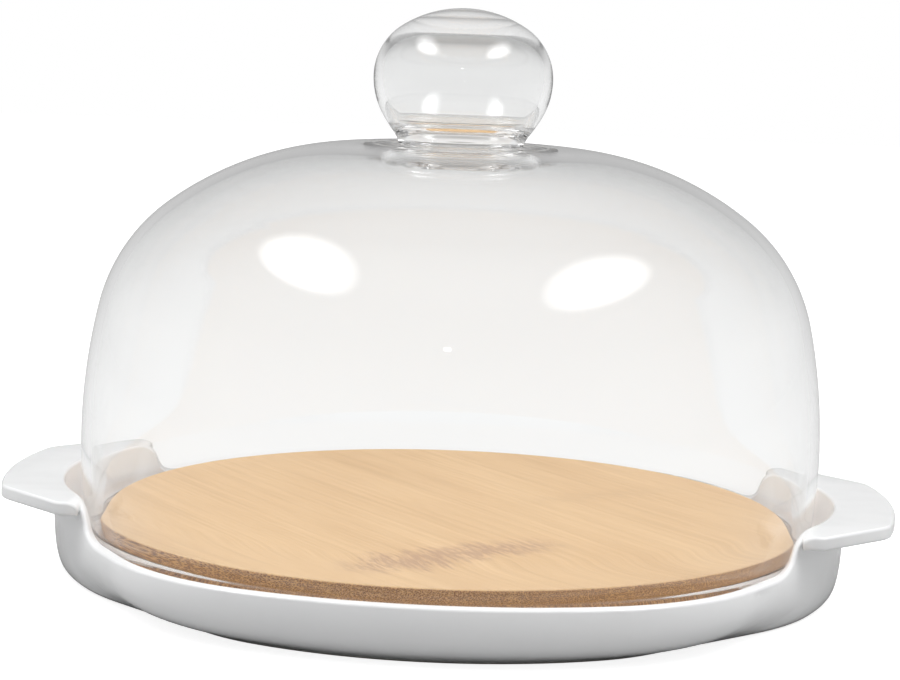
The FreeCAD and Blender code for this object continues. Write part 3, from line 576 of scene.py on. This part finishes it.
knob_upper = (KNOB_RADIUS - KNOB_SHOULDER, KNOB_BELLY)
knob_cap = cap_radius(knob_upper, KNOB_SHOULDER, knob_high.z)
knob_lean = bearing((0, knob_high.z - knob_cap), knob_upper)
cone_top = (KNOB_RADIUS - KNOB_LOWER * (1 - math.cos(KNOB_TAPER)),
            KNOB_BELLY - KNOB_LOWER * math.sin(KNOB_TAPER))
neck_out = NECK_RADIUS + NECK_CURVE * (1 - math.cos(KNOB_TAPER))
neck_up = cone_top[1] - (cone_top[0] - neck_out) / math.tan(KNOB_TAPER)
neck_centre = (NECK_RADIUS + NECK_CURVE, neck_up - NECK_CURVE * math.sin(KNOB_TAPER))
foot_centre = (JOINT_RADIUS, knob_low.z + NECK_FOOT)
knob_outline = arc((0, knob_high.z - knob_cap), knob_cap, math.pi / 2, knob_lean, 16)
knob_outline += arc(knob_upper, KNOB_SHOULDER, knob_lean, 0, 24)[1:]
knob_outline += arc((KNOB_RADIUS - KNOB_LOWER, KNOB_BELLY), KNOB_LOWER, 0, -KNOB_TAPER, 14)[1:]
knob_outline += [((cone_top[0] + neck_out) / 2, (cone_top[1] + neck_up) / 2)]
knob_outline += arc(neck_centre, NECK_CURVE, math.pi - KNOB_TAPER, math.pi, 6)
knob_outline += [(NECK_RADIUS, (neck_centre[1] + foot_centre[1]) / 2)]
knob_outline += arc(foot_centre, NECK_FOOT, 0, -math.pi / 2, 6)
knob_outline += [(JOINT_INSIDE, knob_low.z), (JOINT_INSIDE - FOOT_HOLLOW, knob_low.z + FOOT_HOLLOW),
                 (0.5 * JOINT_INSIDE, knob_low.z + 1.4 * FOOT_HOLLOW),
                 (0, knob_low.z + 1.5 * FOOT_HOLLOW)]
print("knob profile points:", len(knob_outline))

# %% Knob bubble
KNOB_WALL = 2.6 * MM
BUBBLE_RISE = 1 * MM
ROOF_GLASS = 5.5 * MM
ROOF_CURVE = 15 * MM
BED_GLASS = 6 * MM
BED_CURVE = 6 * MM
PUNT = 0.8 * MM
PUNT_STEPS = 12
bubble_roof = knob_high.z - ROOF_GLASS
bubble_bed = knob_low.z + BED_GLASS
bubble_belly = KNOB_BELLY + BUBBLE_RISE
roof_side = (KNOB_RADIUS - KNOB_WALL - ROOF_CURVE, bubble_belly)
roof = cap_radius(roof_side, ROOF_CURVE, bubble_roof)
roof_lean = bearing((0, bubble_roof - roof), roof_side)

# The bed's corner touches both the bed and the cone that follows the neck's taper.
lower_centre = (KNOB_RADIUS - KNOB_LOWER, bubble_belly)
cos_taper, sin_taper = math.cos(KNOB_TAPER), math.sin(KNOB_TAPER)
cone_reach = lower_centre[0] * cos_taper - lower_centre[1] * sin_taper + KNOB_LOWER - KNOB_WALL
corner_height = bubble_bed + BED_CURVE
bed_corner = ((cone_reach - BED_CURVE + corner_height * sin_taper) / cos_taper, corner_height)

bubble_outline = arc((0, bubble_roof - roof), roof, math.pi / 2, roof_lean, 16)
bubble_outline += arc(roof_side, ROOF_CURVE, roof_lean, 0, 24)[1:]
bubble_outline += arc(lower_centre, KNOB_LOWER - KNOB_WALL, 0, -KNOB_TAPER, 14)[1:]
bubble_outline += arc(bed_corner, BED_CURVE, -KNOB_TAPER, -math.pi / 2, 14)
for step in range(1, PUNT_STEPS + 1):
    share = step / PUNT_STEPS
    bubble_outline += [(bed_corner[0] * (1 - share), bubble_bed + PUNT * smooth_step(share))]
print("bubble profile points:", len(bubble_outline))


# %% Knob mesh
KNOB_AROUND = 160


def joined(name, meshes, finish):
    """Several meshes as one mesh with one finish."""
    corners, faces = [], []
    for mesh in meshes:
        shift = len(corners)
        corners += [vertex.co[:] for vertex in mesh.vertices]
        faces += [[i + shift for i in face.vertices] for face in mesh.polygons]
    whole_mesh = bpy.data.meshes.new(name)
    whole_mesh.from_pydata(corners, [], faces)
    whole_mesh.materials.append(finish)
    whole_mesh.shade_smooth()
    return whole_mesh


shells = [turn_profile("knob_outside", knob_outline, thick_glass, KNOB_AROUND),
          turn_profile("knob_bubble", bubble_outline, thick_glass, KNOB_AROUND, faces_out=False)]
print("knob shells, mm3:", [round(volume(shell)) for shell in shells])
knob_mesh = joined("hollow_knob", shells, thick_glass)
print("joint faces:", open_joint(knob_mesh, knob_low.z))
hollow_knob = add_piece("hollow_knob", knob_mesh, "dome", "clear_glass", "glass_knob")

# %% [markdown]
# ## Light under the glass
# Real glass lets nearly all light through to the board. Cycles can't aim a lamp's light through
# glass that bends it, and would leave a dark shadow. So both pieces of glass are left out of the
# rays that look for shadows and of those that carry soft light from wall to wall.

# %% Clear shadows
for piece in (blown_dome, hollow_knob):
    piece.visible_shadow = False
    piece.visible_diffuse = False
print("glass without a shadow:", [piece.name for piece in (blown_dome, hollow_knob)])

# %% [markdown]
# ## Bamboo board
# The board is a sanded disc of laminated bamboo. Its fibres run one way, so one pattern in three
# dimensions, stretched along the fibres, gives fine streaks on the top and dots on the end grain.
# The edge is coloured a darker brown: partly the end grain's own colour, partly painted shade
# for the gap under the tray's rim.
# Where a cane had a joint, a dark band crosses the strips. The pattern is turned by a Mapping
# node, and it reads Object coordinates, so it runs on over the edge as in real wood. In the
# profile, one more point beside each rounded edge keeps smooth shading off the flat faces.

# %% Board profile
EDGE_ROUND = 0.8 * MM
SUPPORT = 0.25 * MM
BOARD_RADIUS = board_high.x
inset = BOARD_RADIUS - EDGE_ROUND
halfway = 0.6 * inset
board_outline = [(0, board_high.z), (halfway, board_high.z), (inset - SUPPORT, board_high.z)]
board_outline += arc((inset, board_high.z - EDGE_ROUND), EDGE_ROUND, math.pi / 2, 0, 6)
board_outline += [(BOARD_RADIUS, board_high.z - EDGE_ROUND - SUPPORT),
                  (BOARD_RADIUS, board_low.z + EDGE_ROUND + SUPPORT)]
board_outline += arc((inset, board_low.z + EDGE_ROUND), EDGE_ROUND, 0, -math.pi / 2, 6)
board_outline += [(inset - SUPPORT, board_low.z), (halfway, board_low.z), (0, board_low.z)]
print("board profile points:", len(board_outline))

# %% Bamboo fibres
GRAIN_TURN = math.radians(54)
bamboo, wood, wood_shader = new_finish("bamboo")
coords = add_node(wood, "ShaderNodeTexCoord")
along = add_node(wood, "ShaderNodeMapping", Vector=coords.outputs["Object"],
                 Rotation=(0, 0, GRAIN_TURN)).outputs[0]


def on_grain(cells):
    """The grain's own axes, with so many cells per metre along the fibres and across them."""
    return add_node(wood, "ShaderNodeMapping", Vector=along, Scale=cells).outputs[0]


def stretched(cells, detail, rough=0.6):
    """Noise with so many cells per metre along the fibres and across them."""
    return add_node(wood, "ShaderNodeTexNoise", Vector=on_grain(cells), Scale=1.0, Detail=detail,
                    Roughness=rough).outputs[0]


fibres = stretched((60.0, 2300.0, 2300.0), 4.0)
streaks = stretched((8.0, 470.0, 470.0), 5.0)
clouds = stretched((9.0, 38.0, 38.0), 2.0)
strips = ramp(wood, streaks, [(0.25, (0.61, 0.40, 0.205)), (0.5, (0.69, 0.475, 0.262)),
                              (0.75, (0.745, 0.53, 0.31))])
fine = ramp(wood, fibres, [(0.3, (0.86, 0.80, 0.72)), (0.62, (1.0, 1.0, 1.0))])
broad = ramp(wood, clouds, [(0.3, (0.93, 0.88, 0.82)), (0.7, (1.04, 1.03, 1.02))])
pale = mixed(wood, 0.8, mixed(wood, 0.55, strips, fine, "MULTIPLY"), broad, "MULTIPLY")
print("bamboo nodes so far:", len(wood.nodes))

# %% Cane joints
grain = add_node(wood, "ShaderNodeSeparateXYZ", Vector=along)
length_at, across_at = grain.outputs["X"], grain.outputs["Y"]
flecks = ramp(wood, stretched((170.0, 900.0, 900.0), 4.0, 0.75), [(0.42, 0.0), (0.6, 1.0)])


def cane_joint(place_along, place_across, half_width, half_length, wobble):
    """A flecked band across the fibres where the cane had a joint: 0 outside it."""
    jitter = stretched((3.0, 260.0, 260.0), 3.0, 0.7)
    shift = maths(wood, "MULTIPLY", maths(wood, "SUBTRACT", jitter, 0.5), wobble)
    off = maths(wood, "SUBTRACT", maths(wood, "ADD", length_at, shift), place_along)
    near = maths(wood, "DIVIDE", maths(wood, "ABSOLUTE", off), half_width)
    band = maths(wood, "MAXIMUM", maths(wood, "SUBTRACT", 1.0, near), 0.0)
    aside = maths(wood, "ABSOLUTE", maths(wood, "SUBTRACT", across_at, place_across))
    wide = maths(wood, "POWER", maths(wood, "DIVIDE", aside, half_length), 2.0)
    ends = maths(wood, "MAXIMUM", maths(wood, "SUBTRACT", 1.0, wide), 0.0)
    return maths(wood, "MULTIPLY", maths(wood, "MULTIPLY", band, ends),
                 maths(wood, "MULTIPLY_ADD", flecks, 1.5, 0.25))


mark = cane_joint(0.059, -0.036, 0.012, 0.044, 0.034)
faint_mark = cane_joint(0.0, 0.065, 0.010, 0.040, 0.024)
pale = mixed(wood, maths(wood, "MINIMUM", mark, 0.62), pale, (0.36, 0.20, 0.13))
pale = mixed(wood, maths(wood, "MULTIPLY", faint_mark, 0.3), pale, (0.50, 0.32, 0.17))
print("bamboo nodes so far:", len(wood.nodes))

# %% End grain, painted edge shade and polish
dots = add_node(wood, "ShaderNodeTexVoronoi", {"feature": "F1"}, Scale=1.0,
                Vector=on_grain((120.0, 2600.0, 2600.0))).outputs["Distance"]
# The edge's browns are partly the end grain's own colour and dots, and partly painted shade of the gap
# under the tray's rim.
end_grain_and_shade = ramp(wood, dots, [(0.1, (0.10, 0.036, 0.009)), (0.4, (0.34, 0.15, 0.043)),
                              (0.75, (0.60, 0.335, 0.12))])
facing_up = add_node(wood, "ShaderNodeSeparateXYZ", Vector=coords.outputs["Normal"]).outputs["Z"]
is_side = ramp(wood, maths(wood, "ABSOLUTE", facing_up), [(0.3, 1.0), (0.8, 0.0)])
wood.links.new(mixed(wood, is_side, pale, end_grain_and_shade), wood_shader.inputs["Base Color"])
wood_shader.inputs["Specular IOR Level"].default_value = 0.35
wood.links.new(maths(wood, "MULTIPLY_ADD", streaks, 0.18, 0.42), wood_shader.inputs["Roughness"])
wood_bump = add_node(wood, "ShaderNodeBump", Strength=0.35, Distance=0.4 * MM, Height=fibres)
wood.links.new(wood_bump.outputs[0], wood_shader.inputs["Normal"])
print("bamboo nodes:", len(wood.nodes))

# %% Board mesh
board_mesh = turn_profile("bamboo_disc", board_outline, bamboo, AROUND)
print("board volume, mm3:", round(volume(board_mesh)))
add_piece("bamboo_disc", board_mesh, "board", "bamboo", "bamboo_board")

# %% [markdown]
# ## Glazed tray
# The tray is cast in a mould and glazed all over, apart from the ring that it stands on. The
# glaze melts over every edge, so nothing is sharp. The solid already has that form, so a copy of
# its mesh is merged into one skin and shaded smoothly. The glaze pools a little here and there,
# which one soft noise shows in its white and its shine, and a bump of very low waves keeps its
# highlights from being ruled straight.

# %% Glaze finish
BARE_BELOW = 2 * MM
white_glaze, glaze, glaze_shader = new_finish("white_glaze")
glaze_coords = add_node(glaze, "ShaderNodeTexCoord").outputs["Object"]
pooling = add_node(glaze, "ShaderNodeTexNoise", Vector=glaze_coords, Scale=22.0, Detail=2.0).outputs[0]
glaze_white = ramp(glaze, pooling, [(0.3, (0.845, 0.85, 0.855)), (0.7, (0.875, 0.878, 0.88))])
tray_height = add_node(glaze, "ShaderNodeSeparateXYZ", Vector=glaze_coords).outputs["Z"]
bare_foot = ramp(glaze, maths(glaze, "DIVIDE", tray_height, BARE_BELOW), [(0.25, 1.0), (0.45, 0.0)])
glaze.links.new(mixed(glaze, bare_foot, glaze_white, (0.70, 0.67, 0.61)),
                glaze_shader.inputs["Base Color"])
shine = maths(glaze, "MULTIPLY_ADD", pooling, 0.06, 0.07)
glaze.links.new(maths(glaze, "MULTIPLY_ADD", bare_foot, 0.6, shine), glaze_shader.inputs["Roughness"])
glaze_shader.inputs["IOR"].default_value = 1.5
ripple = add_node(glaze, "ShaderNodeTexNoise", Vector=glaze_coords, Scale=60.0, Detail=1.0).outputs[0]
glaze_bump = add_node(glaze, "ShaderNodeBump", Strength=0.25, Distance=0.4 * MM, Height=ripple)
glaze.links.new(glaze_bump.outputs[0], glaze_shader.inputs["Normal"])
print("glaze nodes:", len(glaze.nodes))

# %% Tray mesh
MERGE = 0.002 * MM
CREASE = math.radians(35)
cast = bmesh.new()
cast.from_mesh(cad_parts["ceramic_tray"].data)
bmesh.ops.remove_doubles(cast, verts=cast.verts, dist=MERGE)
tray_mesh = bpy.data.meshes.new("glazed_tray")
cast.to_mesh(tray_mesh)
cast.free()
tray_mesh.materials.clear()
tray_mesh.materials.append(white_glaze)
for face in tray_mesh.polygons:
    face.material_index = 0
tray_mesh.shade_smooth()
tray_mesh.set_sharp_from_angle(angle=CREASE)
add_piece("glazed_tray", tray_mesh, "tray", "white_glaze", "ceramic_tray")
print("tray volume, mm3:", round(volume(tray_mesh)), "faces:", len(tray_mesh.polygons))
